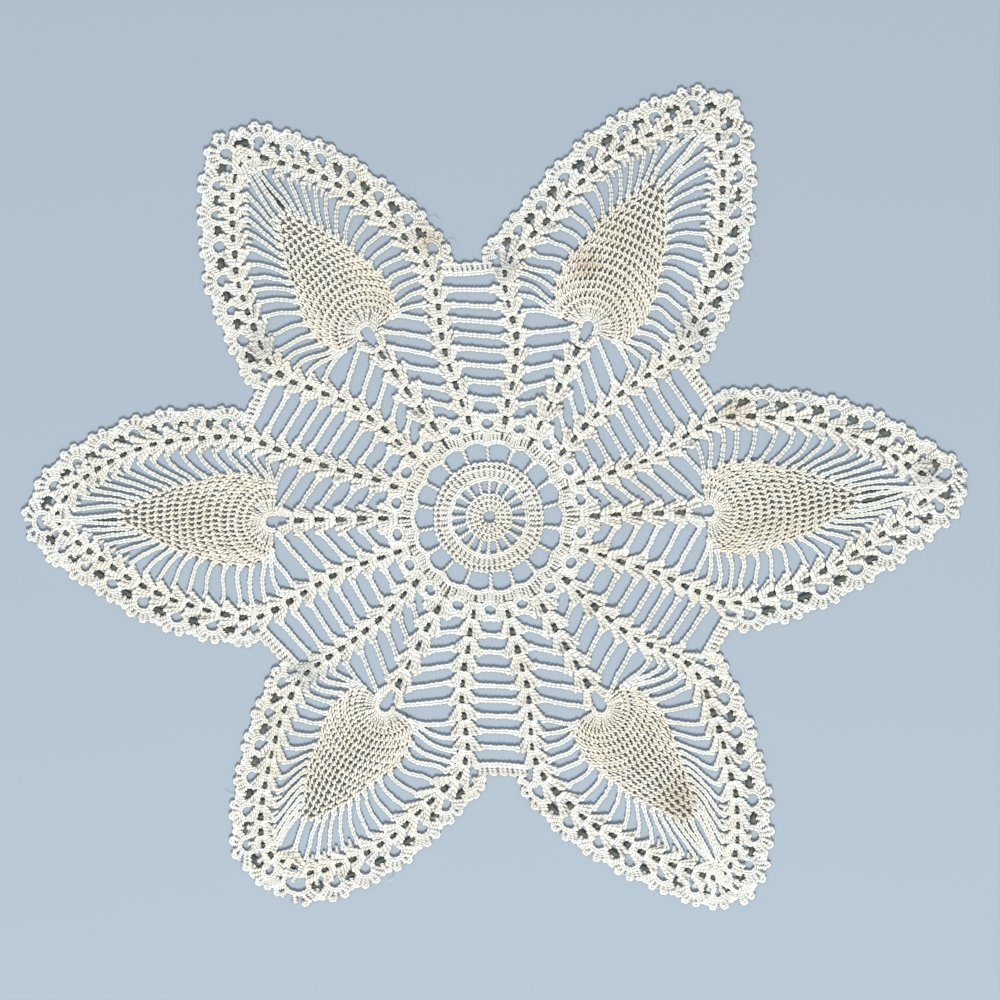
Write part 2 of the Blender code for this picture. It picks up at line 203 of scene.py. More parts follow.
# ---- the chart, laid as this cloth lies ----
class Petal:
    """One petal: its base column, its rim of shells, its pineapple and its strands."""

    def __init__(self, index):
        _, self.eye, point, tip, self.rows, self.reach, self.bar = PETALS[index]
        self.ends = SCALLOP_ENDS[index]
        self.heading = FIRST_COLUMN_AT + 360.0 / len(PETALS) * index
        self.length = math.dist(self.eye, point)
        self.lean = math.degrees(math.atan2(point[1] - self.eye[1], point[0] - self.eye[0]))
        # the rim runs up the clockwise side, over the tip shell and down the other side
        start, end = (polar(RING_CENTRE, FIRST_SHELL, self.heading + turn)
                      for turn in (-COLUMN_TURN, COLUMN_TURN))
        up, down = RIMS[2 * index], RIMS[2 * index + 1]
        self.knots = [1, *RIM_ROWS, self.rows[CLOCKWISE]]
        self.knots += [self.along(ANTI, row) for row in (*reversed(RIM_ROWS), 1)]
        self.points = [start, *up, tip, *reversed(down), end]

    def along(self, hand, row):
        """Place on the rim's run of a row on one side."""
        return row if hand == CLOCKWISE else sum(self.rows) - row

    def shell(self, run):
        """A shell's middle, and the way out of the petal there."""
        here = smooth_curve(self.knots, self.points, run)
        ahead = towards(smooth_curve(self.knots, self.points, run - SLOPE_STEP),
                        smooth_curve(self.knots, self.points, run + SLOPE_STEP))
        return here, (ahead[1], -ahead[0])

    def off_rim(self, run, outward):
        """A point this far out from the middle of the shells."""
        here, out = self.shell(run)
        return shift(here, out, outward)

    def base(self, row, sideways=0.0):
        """A point on the column that ends at the eye."""
        start = polar(RING_CENTRE, FIRST_BASE_SHELL, self.heading)
        way = towards(start, self.eye)
        here = mix(start, self.eye, (row - 1) / (EYE_ROW - 1))
        return shift(here, (-way[1], way[0]), sideways)

    def row_end(self, hand, row):
        """Where a strand leaves: the base column's edge, or the end of a pineapple row."""
        turn = SIDE_TURN[hand]
        if row <= EYE_ROW:
            return self.base(row - CHAIN_DROP, turn * SHELL_HALF * LADDER_FOOT)
        reach = FAN_REACH + (self.length - FAN_REACH) * (row - FAN_ROW) / (LAST_ROW - FAN_ROW)
        return polar(self.eye, reach, self.lean + turn * stepped(PINE_SPREAD, row))

    def strand(self, hand, row, share):
        """A point on a row's chain, from the inner column or the pineapple to the rim."""
        start = self.row_end(hand, row)
        if row <= EYE_ROW:
            end = self.off_rim(self.along(hand, row - CHAIN_DROP), -SHELL_HALF)
            return mix(start, end, share)
        # the first two leave close together from the corner beside the fan
        if row < FAN_ROW + 2:
            start = mix(start, self.row_end(hand, FAN_ROW + 2), CORNER_PULL)
        run = self.along(hand, row)
        end = self.off_rim(run, -SHELL_HALF)
        leave = polar((0, 0), 1.0, self.lean + SIDE_TURN[hand] * stepped(STRAND_LEAVES, row))
        _, arrive = self.shell(run)
        bow = STRAND_BOW * math.dist(start, end)
        near = bow * stepped(STRAIGHT_ROWS, row)
        return bezier(start, shift(start, leave, bow), shift(end, arrive, -near), end, share)

    def edging(self):
        """Runs of the rim where one scallop ends and the next begins, the tip's among them."""
        up, down = ([self.along(hand, row) for row in self.ends[hand]]
                    for hand in (CLOCKWISE, ANTI))
        return up + down[::-1]

    def trim(self, run, out):
        """A point in the edging, out from the shells by a share of a scallop's reach there."""
        hand = CLOCKWISE if run < self.rows[CLOCKWISE] else ANTI
        reach = self.reach[hand] * stepped(SCALLOP_REACH, self.along(hand, run))
        return self.off_rim(run, SHELL_HALF + reach * out)


def valley_chain(petal, following, row, share):
    """A point on the chain from one petal's rim to the next one's, or on the bar over the last."""
    if row < VALLEY_ROW:
        row -= CHAIN_DROP
    near = petal.off_rim(petal.along(ANTI, row), SHELL_HALF)
    far = following.off_rim(following.along(CLOCKWISE, row), SHELL_HALF)
    return mix(near, far, share)


# ---- stitches to place ----
# chain link, tall stitch, pineapple stitch, little loop, thread laid low in a small hole and
# coloured as painted shade, and loose fibre
LINK, POST, ROW, PICOT, SHADE_THREAD, FIBRE = range(6)
LINK_PITCH = 1.9
LINK_WIDTH = 2.3
POST_THICK = 2.0
STITCH_HEIGHT = 1.2
STITCH_LOW = 0.38               # a stitch's underside over the floor
# height and underside of the thread of painted shade in small holes
SHADE_THREAD_HEIGHT = 0.25
SHADE_THREAD_LOW = 0.34
OFF_PLACE = 0.09                # how far a stitch strays; its heading, radians; its size, a share
OFF_HEADING = 0.06
OFF_SIZE = 0.06
OFF_WARMTH = 0.12
LINE_PARTS = 24                 # a chain's line is measured in this many parts

# how warm the cotton is, from 0, almost white, to 1, cream
TALL_WARMTH = 0.05              # the tall posts of the ring
STRAND_WARMTH = 0.08
THIN_WARMTH = 0.1               # picots, spokes, loose fibres and stitches between strands
EDGE_WARMTH = 0.2               # the edging, and the chains next to the ring's posts
BAR_WARMTH = 0.25
ROUND_WARMTH = 0.3              # the chains round the eyes and the ring, and stitches at the tips
SHELL_WARMTH = 0.35
FAN_WARMTH = 0.45
PINE_WARMTH = 0.75


class Work:
    """The stitches of one part of the cloth, each with its kind, place, turn and size, and how warm
    and how clean its cotton is."""

    def __init__(self, name, seed):
        self.name = name
        self.chance = random.Random(seed)
        self.kinds, self.places, self.turns, self.sizes = [], [], [], []
        self.warmth, self.tone = [], []

    def stray(self, most):
        return self.chance.uniform(-most, most)

    def stitch(self, kind, start, end, width, warmth, low=STITCH_LOW, height=STITCH_HEIGHT):
        """One stitch from start to end in the plan, a little off, as worked by hand."""
        length = math.dist(start, end)
        heading = math.atan2(end[1] - start[1], end[0] - start[0])
        self.kinds.append(kind)
        self.places.append((start[0] - PLAN_MIDDLE[0] + self.stray(OFF_PLACE),
                            start[1] - PLAN_MIDDLE[1] + self.stray(OFF_PLACE),
                            low + self.stray(0.5 * OFF_PLACE)))
        self.turns.append((self.stray(3 * OFF_HEADING), self.stray(OFF_HEADING),
                           heading + self.stray(OFF_HEADING)))
        self.sizes.append([size * (1 + self.stray(OFF_SIZE)) for size in (length, width, height)])
        self.warmth.append(warmth + self.stray(OFF_WARMTH))
        self.tone.append(self.chance.random())

    def lay_shade_thread(self, start, end, width):
        """A thread low in a small hole, coloured as painted shade; it has one colour, however warm
        its cotton.
        """
        self.stitch(SHADE_THREAD, start, end, width, 0.0, SHADE_THREAD_LOW, SHADE_THREAD_HEIGHT)

    def chain(self, place, last=1.0, width=LINK_WIDTH, warmth=STRAND_WARMTH, flare=1.0):
        """A chain of links along a line that is given as a function of the share along it, its
        first and last links made wider by the flare where they run into the shells."""
        shares = [last * part / LINE_PARTS for part in range(LINE_PARTS + 1)]
        line = [place(share) for share in shares]
        run = np.cumsum([0.0] + [math.dist(a, b) for a, b in zip(line, line[1:])])
        count = max(1, round(run[-1] / LINK_PITCH))
        marks = [place(np.interp(run[-1] * mark / count, run, shares)) for mark in range(count + 1)]
        for number, (here, there) in enumerate(zip(marks, marks[1:])):
            wide = width * (flare if number in (0, count - 1) else 1.0)
            self.stitch(LINK, here, there, wide, warmth)


# ---- shells ----
# the tall stitches of half a shell: foot and head, out from the column's middle, and how much of
# the row the head stays short of the shell's top
SHELL_POSTS = ((0.55, 2.15, 0.0), (1.2, 3.6, 0.0), (1.65, 4.9, 0.0), (2.0, 6.0, 0.1))
EYE_POSTS = ((1.0, 3.2, 0.3), (1.8, 4.3, 0.25), (2.5, 5.3, 0.3), (3.0, 6.0, 0.42))
SHELL_FOOT = 0.1                # feet of a shell, up from the slit below
SHELL_KNOT = 0.46               # the two halves part at this share of the row
EYE_KNOT = 0.3                  # and so at the eye
KNOT_WIDTH = 1.5
SLIT_CHAIN = 1.9                # half the chain over a slit
SLIT_CHAIN_RISE = 0.6           # and how far past the shell's top it lies
SLIT_DROP = 0.24                # the slit's middle, down from the shell's top, share of the row
# half the length and the width of the thread laid in the slit as painted shade
SLIT_HALF = 1.45
SLIT_WIDTH = 3.3


def shell(work, base, top, across, is_eye=False):
    """Four stitches on either side of a slit, fanned from the slit below, the chain over it, and a
    thread coloured as painted shade laid in the slit.
    The shell at a pineapple's eye has the eye in place of the slit."""
    up = towards(base, top)
    pitch = math.dist(base, top)
    root = shift(base, up, SHELL_FOOT)
    for side in (-1, 1):
        for foot, head, short in EYE_POSTS if is_eye else SHELL_POSTS:
            work.stitch(POST, shift(root, across, side * foot),
                        shift(shift(top, up, -short * pitch), across, side * head),
                        POST_THICK, SHELL_WARMTH)
    knot = mix(base, top, EYE_KNOT if is_eye else SHELL_KNOT)
    work.stitch(POST, root, knot, KNOT_WIDTH, SHELL_WARMTH)
    if is_eye:
        return
    over = shift(top, up, SLIT_CHAIN_RISE)
    work.chain(lambda share: shift(over, across, (2 * share - 1) * SLIT_CHAIN), warmth=SHELL_WARMTH)
    # a thread coloured as painted shade lies in the slit
    slit = shift(top, up, -SLIT_DROP * pitch)
    work.lay_shade_thread(shift(slit, across, -SLIT_HALF), shift(slit, across, SLIT_HALF), SLIT_WIDTH)


# past this row the shells spread over the tip, and one more stitch stands between their outer ends:
# rows below the shell's top, foot and head out from the shells' middle, and width
SPREAD_ROW = 21
SPREAD_DROP = 0.6
SPREAD_FOOT, SPREAD_HEAD = 1.5, 5.6
SPREAD_WIDTH = 2.4


def rim(work, petal):
    """The shells of both sides, from the second row to the tip."""
    for hand in (CLOCKWISE, ANTI):
        for row in range(2, petal.rows[hand] + 1):
            base, _ = petal.shell(petal.along(hand, row - 1))
            top, out = petal.shell(petal.along(hand, row))
            shell(work, base, top, out)
            if row > SPREAD_ROW:
                between = petal.along(hand, row - SPREAD_DROP)
                work.stitch(POST, petal.off_rim(between, SPREAD_FOOT),
                            petal.off_rim(between, SPREAD_HEAD), SPREAD_WIDTH, ROUND_WARMTH)


def base_column(work, petal):
    """The shells of the column that ends at the eye."""
    for row in range(2, EYE_ROW + 1):
        base, top = petal.base(row - 1), petal.base(row)
        up = towards(base, top)
        shell(work, base, top, (-up[1], up[0]), is_eye=row == EYE_ROW)


# ---- pineapples and strands ----
FAN_STITCHES = 22
FAN_TURN = 98                   # degrees from the pineapple's middle line
FAN_FOOT = 3.3
FAN_WIDTH = 1.6
EYE_CHAIN = 3.6                 # radius of the chain round the eye
EYE_CHAIN_TURN = 240            # and the degrees that it goes round
PINE_PITCH = 2.05
PINE_LEAN = 0.35                # each row's stitches lean the other way


def pineapple(work, petal):
    """Long stitches fanned round the eye, then row upon row of short ones to the point."""
    for i in range(FAN_STITCHES):
        turn = petal.lean + FAN_TURN * (2 * (i + 0.5) / FAN_STITCHES - 1)
        work.stitch(POST, polar(petal.eye, FAN_FOOT, turn), polar(petal.eye, FAN_REACH, turn),
                    FAN_WIDTH, FAN_WARMTH)
    work.chain(
        lambda share: polar(petal.eye, EYE_CHAIN, petal.lean + EYE_CHAIN_TURN * (share - 0.5)),
        warmth=ROUND_WARMTH)
    for row in range(FAN_ROW + 1, LAST_ROW + 1):
        ends = [[petal.row_end(hand, r) for hand in (CLOCKWISE, ANTI)] for r in (row - 1, row)]
        reach = [math.dist(petal.eye, pair[0]) for pair in ends]
        half = math.radians(stepped(PINE_SPREAD, row)) * reach[1]
        count = max(2, round(2 * half / PINE_PITCH))
        lean = PINE_LEAN * (-1) ** row
        for i in range(count):
            share = 2 * (i + 0.5) / count - 1
            low, high = (polar(petal.eye, r, petal.lean + share * stepped(PINE_SPREAD, k))
                         for r, k in zip(reach, (row - 1, row)))
            work.stitch(ROW, shift(low, towards(*ends[0]), lean), high, 2 * half / count,
                        PINE_WARMTH)


STRAND_END = 1.04               # a strand runs on into its shell, to this share of its length
END_FLARE = 1.45                # a chain's ends are this much wider
TIGHT_ROW = 13                  # from this row on the strands are drawn thinner
TIGHT_WIDTH = 1.95
SHADE_THREAD_REACH = 3.4                # strands whose middles are nearer than this have a thread of painted shade laid between them, in parts and narrower than their distance by this
SHADE_THREAD_PARTS = 4                  # between them, in parts
SHADE_THREAD_SHORT = 1.0                # and narrower than their distance by this
CLOSE_ROW = 19                  # from this row on a stitch stands between the strands' ends
CLOSE_LENGTH = 5.0
CLOSE_WIDTH = 2.3


def strands(work, petal):
    """The chains from the base column and the pineapple to the rim, and one to the tip."""
    for hand in (CLOCKWISE, ANTI):
        for row in range(2, petal.rows[hand]):
            work.chain(lambda share: petal.strand(hand, row, share), last=STRAND_END,
                       flare=END_FLARE, width=LINK_WIDTH if row < TIGHT_ROW else TIGHT_WIDTH)
    point = mix(petal.row_end(CLOCKWISE, LAST_ROW), petal.row_end(ANTI, LAST_ROW), 0.5)
    tip = petal.off_rim(petal.rows[CLOCKWISE], -SHELL_HALF)
    work.chain(lambda share: mix(point, tip, share), flare=END_FLARE)

    def between(hand, row, share):
        """Halfway from a strand to the next one, or from the last one to the chain to the tip, and
        how far apart the two are."""
        here = petal.strand(hand, row, share)
        is_last = row == petal.rows[hand] - 1
        there = mix(point, tip, share) if is_last else petal.strand(hand, row + 1, share)
        return mix(here, there, 0.5), math.dist(here, there)

    # threads coloured as painted shade laid low between strands that lie close
    for hand in (CLOCKWISE, ANTI):
        for row in range(TIGHT_ROW, petal.rows[hand]):
            if between(hand, row, 0.5)[1] > SHADE_THREAD_REACH:
                continue
            for part in range(SHADE_THREAD_PARTS):
                (start, _), (_, apart), (end, _) = (between(hand, row, (part + k / 2) / SHADE_THREAD_PARTS)
                                                    for k in range(3))
                work.lay_shade_thread(start, end, apart - SHADE_THREAD_SHORT)
        for row in range(CLOSE_ROW, petal.rows[hand] - 1):
            length = math.dist(petal.strand(hand, row, 0), petal.strand(hand, row, 1))
            foot, _ = between(hand, row, STRAND_END - CLOSE_LENGTH / length)
            head, _ = between(hand, row, STRAND_END)
            work.stitch(POST, foot, head, CLOSE_WIDTH, THIN_WARMTH)


# ---- scalloped edging and valleys ----
# round lines over a scallop's hole: half their span as a share of the scallop's, and where they
# start and how far they reach out from the shells, as shares of the scallop's reach
HOLE_CHAIN = (0.25, -0.04, 0.5)
FANNED = (
    # kind, how many, line of their feet, line of their heads, width, warmth
    (POST, 8, (0.23, 0.0, 0.5), (0.5, 0.5, 0.92), 2.9, EDGE_WARMTH),
    (PICOT, 4, (0.44, 0.42, 0.8), (0.5, 0.62, 1.1), 4.1, THIN_WARMTH),
)
FULLNESS = 0.8                  # a round line's power of the sine, under 1 for full shoulders


def scallop(work, petal, start, end):
    """A loop of chain, tall stitches fanned over it and picots at its outer edge."""
    def arch(turn, half, low, high):
        """A point on a round line over the scallop's hole."""
        share = 0.5 - half * math.cos(math.pi * turn)
        out = low + (high - low) * math.sin(math.pi * turn) ** FULLNESS
        return petal.trim(start + (end - start) * share, out)

    work.chain(lambda share: arch(share, *HOLE_CHAIN), warmth=EDGE_WARMTH)
    for kind, count, feet, heads, width, warmth in FANNED:
        for turn in ((i + 0.5) / count for i in range(count)):
            work.stitch(kind, arch(turn, *feet), arch(turn, *heads), width, warmth)


# the stitch between two scallops: foot and head as shares of their reach, and width
MEETING_STITCH = (0.22, 0.68, 3.0)
# the thread of painted shade in the small hole under it: its place as a share of the reach, half
# its length in rows, and width
MEETING_HOLE = (0.12, 0.33, 3.2)
LOOSE_FIBRES = 14               # on each petal's edging
FIBRE_ROOTS = (-0.4, 1.0)       # shares of the reach between which they start
FIBRE_LENGTHS = (3.0, 6.0)
FIBRE_WIDTH = 2.5
FIBRE_HEIGHT = 0.5
FIBRE_LOW = 1.0


def edging(work, petal):
    """The scallops round a petal, the stitch between each two with a thread of painted shade in the
    small hole under it, and a few fibres that have come loose."""
    runs = petal.edging()
    for start, end in zip(runs, runs[1:]):
        scallop(work, petal, start, end)
    foot, head, width = MEETING_STITCH
    for run in runs:
        work.stitch(POST, petal.trim(run, foot), petal.trim(run, head), width, EDGE_WARMTH)
    out, half, width = MEETING_HOLE
    # a thread coloured as painted shade in each small hole
    for run in runs[1:-1]:
        work.lay_shade_thread(petal.trim(run - half, out), petal.trim(run + half, out), width)
    for _ in range(LOOSE_FIBRES):
        root = petal.trim(work.chance.uniform(runs[0], runs[-1]), work.chance.uniform(*FIBRE_ROOTS))
        end = polar(root, work.chance.uniform(*FIBRE_LENGTHS), work.chance.uniform(0, 360))
        work.stitch(FIBRE, root, end, FIBRE_WIDTH, THIN_WARMTH, FIBRE_LOW, FIBRE_HEIGHT)


# the bar: places outward from its middle line, as shares of its width
BAR_PITCH = 2.0
BAR_CHAIN = -0.35
BAR_CHAIN_WIDTH = 2.6
BAR_POSTS = (-0.45, 0.5)
BAR_POST_LEAN = 0.04            # share of the bar by which a stitch's head leans along it
BAR_POST_WIDTH = 2.6
BAR_PICOTS = (0.3, 0.6)
BAR_PICOT_WIDTH = 2.8


def valley(work, petal, following):
    """The ladder of chains between two petals, closed by a bar covered with stitches."""
    for row in range(2, VALLEY_ROW):
        work.chain(lambda share: valley_chain(petal, following, row, share), flare=END_FLARE)

    def bar(share, out):
        """A point on the bar, out from its middle line by a share of its width."""
        here = valley_chain(petal, following, VALLEY_ROW, share)
        return shift(here, towards(RING_CENTRE, here), petal.bar + out * BAR_WIDTH)

    work.chain(lambda share: bar(share, BAR_CHAIN), width=BAR_CHAIN_WIDTH)
    count = round(math.dist(bar(0, 0), bar(1, 0)) / BAR_PITCH)
    for i in range(count):
        share = (i + 0.5) / count
        work.stitch(POST, bar(share, BAR_POSTS[0]), bar(share + BAR_POST_LEAN, BAR_POSTS[1]),
                    BAR_POST_WIDTH, BAR_WARMTH)
        if i % 2:
            foot, head = (bar(share, out) for out in BAR_PICOTS)
            work.stitch(PICOT, foot, head, BAR_PICOT_WIDTH, THIN_WARMTH)


# ---- the ring and the first shells ----
# rounds of stitches, from the middle: foot and head from the ring's centre, how many, width, warmth
INNER_ROUNDS = ((3.0, 5.4, 12), (5.0, 7.9, 19), (7.4, 10.4, 28))    # as wide as they stand apart
SPOKES = (10.0, 16.2, 20, 2.4, THIN_WARMTH)
LOW_POSTS = (16.2, 20.8, 54, 3.0, SHELL_WARMTH)
OUTER_ROUND = (20.4, 23.8, 62, 2.3, SHELL_WARMTH)
OUTER_LEAN = 0.8                # degrees
ROUND_CHAIN = 16.4              # radius of the chain at the low posts' feet
TALL_POST = (23.6, 31.2)        # foot and head of the posts with the gaps between them
TALL_POST_WIDTH = 2.5
ARCH_FOOT = 30.6                # the chains from post to post start at this radius
POST_ARCH = 1.6                 # and rise by this over the gap
SMALL_GAP_AT = 39.2             # small round gaps before the first chains, from the ring's centre
SMALL_GAP = (3.2, 3.7)          # half sizes of the chain round one, outward and across
SMALL_GAP_WIDTH = 2.5
# the first shells, shared by two columns at their sides: foot and head in degrees, and how far the
# head stays short
FIRST_POSTS = ((1.2, 2.3, 0.0), (3.7, 4.9, 0.0), (6.6, 7.6, 0.0), (9.0, 9.4, 0.6))
FIRST_FOOT = 31.5
FIRST_SLIT = (-4.5, -0.5)       # the two ends of the thread of painted shade in a first shell's slit, out from its top
FIRST_SLIT_WIDTH = 1.8


def middle(work):
    """The rounds of the ring, its posts and the gaps round them, and the first shells."""
    def at(radius, heading):
        return polar(RING_CENTRE, radius, heading)

    def ringed(kind, foot, head, count, width, warmth, lean=0.0):
        """One round of stitches, their heads turned on by the lean."""
        for i in range(count):
            turn = 360 * i / count
            work.stitch(kind, at(foot, turn), at(head, turn + lean), width, warmth)

    for foot, head, count in INNER_ROUNDS:
        ringed(ROW, foot, head, count, math.tau * head / count, SHELL_WARMTH)
    ringed(POST, *SPOKES)
    ringed(POST, *LOW_POSTS)
    work.chain(lambda share: at(ROUND_CHAIN, 360 * share), warmth=ROUND_WARMTH)
    ringed(ROW, *OUTER_ROUND, OUTER_LEAN)
    for i in range(COLUMNS):
        heading = FIRST_COLUMN_AT + COLUMN_TURN * i
        beside = heading + COLUMN_TURN / 2
        work.stitch(POST, at(TALL_POST[0], beside), at(TALL_POST[1], beside), TALL_POST_WIDTH,
                    TALL_WARMTH)
        work.chain(lambda share: at(ARCH_FOOT + POST_ARCH * math.sin(math.pi * share),
                                    heading + COLUMN_TURN * (share - 0.5)), warmth=EDGE_WARMTH)
        small = at(SMALL_GAP_AT, beside)
        out = towards(RING_CENTRE, small)
        across = (-out[1], out[0])
        work.chain(lambda share: shift(shift(small, out, SMALL_GAP[0] * math.cos(math.tau * share)),
                                       across, SMALL_GAP[1] * math.sin(math.tau * share)),
                   warmth=EDGE_WARMTH, width=SMALL_GAP_WIDTH)
        # every third column ends at an eye
        top = FIRST_BASE_SHELL if i % 3 == 0 else FIRST_SHELL
        for side in (-1, 1):
            for foot, head, short in FIRST_POSTS:
                work.stitch(POST, at(FIRST_FOOT, heading + side * foot),
                            at(top - short, heading + side * head), POST_THICK, SHELL_WARMTH)
        # a thread coloured as painted shade in the first shell's slit
        work.lay_shade_thread(at(top + FIRST_SLIT[0], heading), at(top + FIRST_SLIT[1], heading),
                  FIRST_SLIT_WIDTH)


# ---- the worked stitches ----
# where the map's turns start: on a wrapped body, on a tube, and on a thread coloured as painted
# shade
BODY_TURN, TUBE_TURN, SHADE_THREAD_TURN = 0.0, 2.0, 4.0
BODY_SIDES = 5
BODY_LEAN = 0.8                 # slant of the thread round a body, along it for each unit across
GROOVE_SHARE = 0.6              # a body's girth in the grooves of its thread


def skin(mesh, thread_map, rings, run, turn):
    """Closes rings of points into one skin, with the run along it and the turn as its UV map."""
    rings = [[mesh.verts.new(point) for point in ring] for ring in rings]
    sides = len(rings[0])
    for i, (low, high) in enumerate(zip(rings, rings[1:])):
        for k in range(sides):
            j = (k + 1) % sides
            face = mesh.faces.new((low[k], low[j], high[j], high[k]))
            corners = ((run[i], k), (run[i], k + 1), (run[i + 1], k + 1), (run[i + 1], k))
            for loop, (u, v) in zip(face.loops, corners):
                loop[thread_map].uv = (u, turn + v / sides)
    mesh.faces.new(rings[0][::-1])
    mesh.faces.new(rings[-1])


def thread(line, thick, sides=4, first_turn=TUBE_TURN):
    """Rings of a thread through the points of a line, and the run along it."""
    line = [np.array(point) for point in line]
    run = np.cumsum([0.0] + [np.linalg.norm(b - a) for a, b in zip(line, line[1:])])
    rings = []
    for i, (point, radius) in enumerate(zip(line, thick)):
        ahead = line[min(i + 1, len(line) - 1)] - line[max(i - 1, 0)]
        side = np.cross((0, 0, 1), ahead)
        side /= np.linalg.norm(side)
        up = np.cross(ahead, side) / np.linalg.norm(ahead)
        rings.append([point + radius * (math.cos(turn) * side + math.sin(turn) * up)
                      for turn in (math.tau * k / sides for k in range(sides))])
    return rings, run, first_turn


def wrapped(start, end, foot, head, high, wraps):
    """Rings of a stitch's body from its foot to its head, each given as half width and height of
    the middle, grooved slantwise where its thread goes round, and the turns along it."""
    rings, run = [], []
    for i in range(2 * wraps + 1):
        share = i / (2 * wraps)
        full = 1.0 if i % 2 else GROOVE_SHARE
        wide, middle_z = mix(foot, head, share)
        ring = []
        for k in range(BODY_SIDES):
            turn = math.tau * (k / BODY_SIDES + 0.25)
            across = full * wide * math.cos(turn)
            along = start + (end - start) * share + BODY_LEAN * across
            ring.append((along, across, middle_z + full * high * math.sin(turn)))
        rings.append(ring)
        run.append(i / 2)
    return rings, run, BODY_TURN


def link_forms():
    """Two legs that rise from under the link before and close over the next one's foot."""
    leg = [(-0.7, 0.10, 0.45), (0.2, 0.42, 0.65), (1.0, 0.50, 0.85), (1.85, 0.26, 0.85)]
    thick = (0.34, 0.46, 0.48, 0.34)
    return [thread(leg, thick), thread([(x, -y, z) for x, y, z in leg], thick)]


def post_forms():
    """A body with the thread laid round it, under the two legs of its head."""
    head = [(4.9, -0.95, 0.55), (5.8, 0.0, 1.05), (4.9, 0.95, 0.55)]
    return [wrapped(0.0, 5.7, foot=(0.6, 0.62), head=(1.02, 0.62), high=0.52, wraps=4),
            thread(head, (0.34, 0.46, 0.34))]


def row_forms():
    """A short body, the head over it, and a thread low down behind, coloured as painted shade."""
    head = [(1.5, -1.05, 0.5), (2.35, -0.6, 0.8), (2.6, 0.0, 0.85), (2.35, 0.6, 0.8),
            (1.5, 1.05, 0.5)]
    back = [(-0.3, 1.0, 0.38), (1.1, 0.95, 0.42), (2.6, 1.0, 0.38)]
    return [wrapped(-0.7, 2.3, foot=(0.66, 0.85), head=(0.92, 0.6), high=0.52, wraps=2),
            thread(head, (0.28, 0.42, 0.45, 0.42, 0.28)),
            thread(back, (0.36, 0.36, 0.36), first_turn=SHADE_THREAD_TURN)]


def picot_forms():
    """A short loop pulled tight, so that its two sides touch."""
    loop = [(-0.3, -0.5, 0.5), (0.7, -0.95, 0.65), (1.55, -0.5, 0.75), (1.55, 0.5, 0.75),
            (0.7, 0.95, 0.65), (-0.3, 0.5, 0.5)]
    core = [(0.0, 0.0, 0.6), (1.0, 0.0, 0.8)]
    return [thread(loop, (0.42, 0.56, 0.6, 0.6, 0.56, 0.42)), thread(core, (0.5, 0.5))]


def shade_thread_forms():
    """A short straight thread, coloured as painted shade in small holes."""
    return [thread([(0.0, 0.0, 0.5), (1.0, 0.0, 0.5)], (0.5, 0.5), first_turn=SHADE_THREAD_TURN)]


def fibre_forms():
    """A thin curl."""
    curl = [(0.0, 0.0, 0.4), (1.4, 0.9, 0.6), (2.9, 0.8, 0.7), (4.1, -0.4, 0.6), (5.0, -0.3, 0.4)]
    return [thread(curl, (0.09, 0.1, 0.1, 0.09, 0.05), sides=3)]


# each kind's forms, and the length, width and height that they were drawn at
STITCHES = (("link", link_forms, (1.9, 1.95, 1.3)), ("post", post_forms, (6.0, 1.9, 1.35)),
            ("row", row_forms, (3.2, 2.05, 1.4)), ("picot", picot_forms, (2.15, 3.0, 1.35)),
            # the under kind is the thread coloured as painted shade in small holes
            ("under", shade_thread_forms, (1.0, 1.0, 1.0)), ("fibre", fibre_forms, (5.0, 2.0, 1.0)))


def stitch_kinds():
    """One mesh for each kind of stitch, a unit long, wide and high; the numbers in their names keep
    them in the order of the kinds."""
    kinds = bpy.data.collections.new("stitch kinds")
    for number, (name, forms, drawn) in enumerate(STITCHES):
        form = bmesh.new()
        thread_map = form.loops.layers.uv.new("thread")
        for rings, run, turn in forms():
            skin(form, thread_map, rings, run, turn)
        bmesh.ops.scale(form, vec=[1 / size for size in drawn], verts=form.verts)
        mesh = bpy.data.meshes.new(f"stitch_{number}_{name}")
        form.to_mesh(mesh)
        form.free()
        mesh.polygons.foreach_set("use_smooth", [True] * len(mesh.polygons))
        kinds.objects.link(bpy.data.objects.new(mesh.name, mesh))
    return kinds


UNEVENNESS = 0.22               # how far the threads bend
WAVE = 420.0                    # bends to a metre
DRIFT = 1.6                     # how far whole rows drift
DRIFT_WAVES = 7.0               # a drift is this many bends long
NOISE_MIDDLE = (0.5, 0.5, 0.5)
HEIGHT_SHARE = 0.5              # share of the bends that goes up and down


def feed(tree, node, inputs):
    """Gives a node's inputs their values: numbers, colours or other nodes' outputs."""
    for name, value in inputs.items():
        if isinstance(value, bpy.types.NodeSocket):
            tree.links.new(value, node.inputs[name])
        else:
            node.inputs[name].default_value = value


def wired(tree, kind, inputs, **settings):
    """The outputs of a new node with these inputs and settings."""
    node = tree.nodes.new(kind)
    for name, value in settings.items():
        setattr(node, name, value)
    feed(tree, node, inputs)
    return node.outputs


def figured(tree, kind, *values):
    """The result of a sum, or of another step of arithmetic, on these values."""
    return wired(tree, "ShaderNodeMath", dict(enumerate(values)), operation=kind)[0]


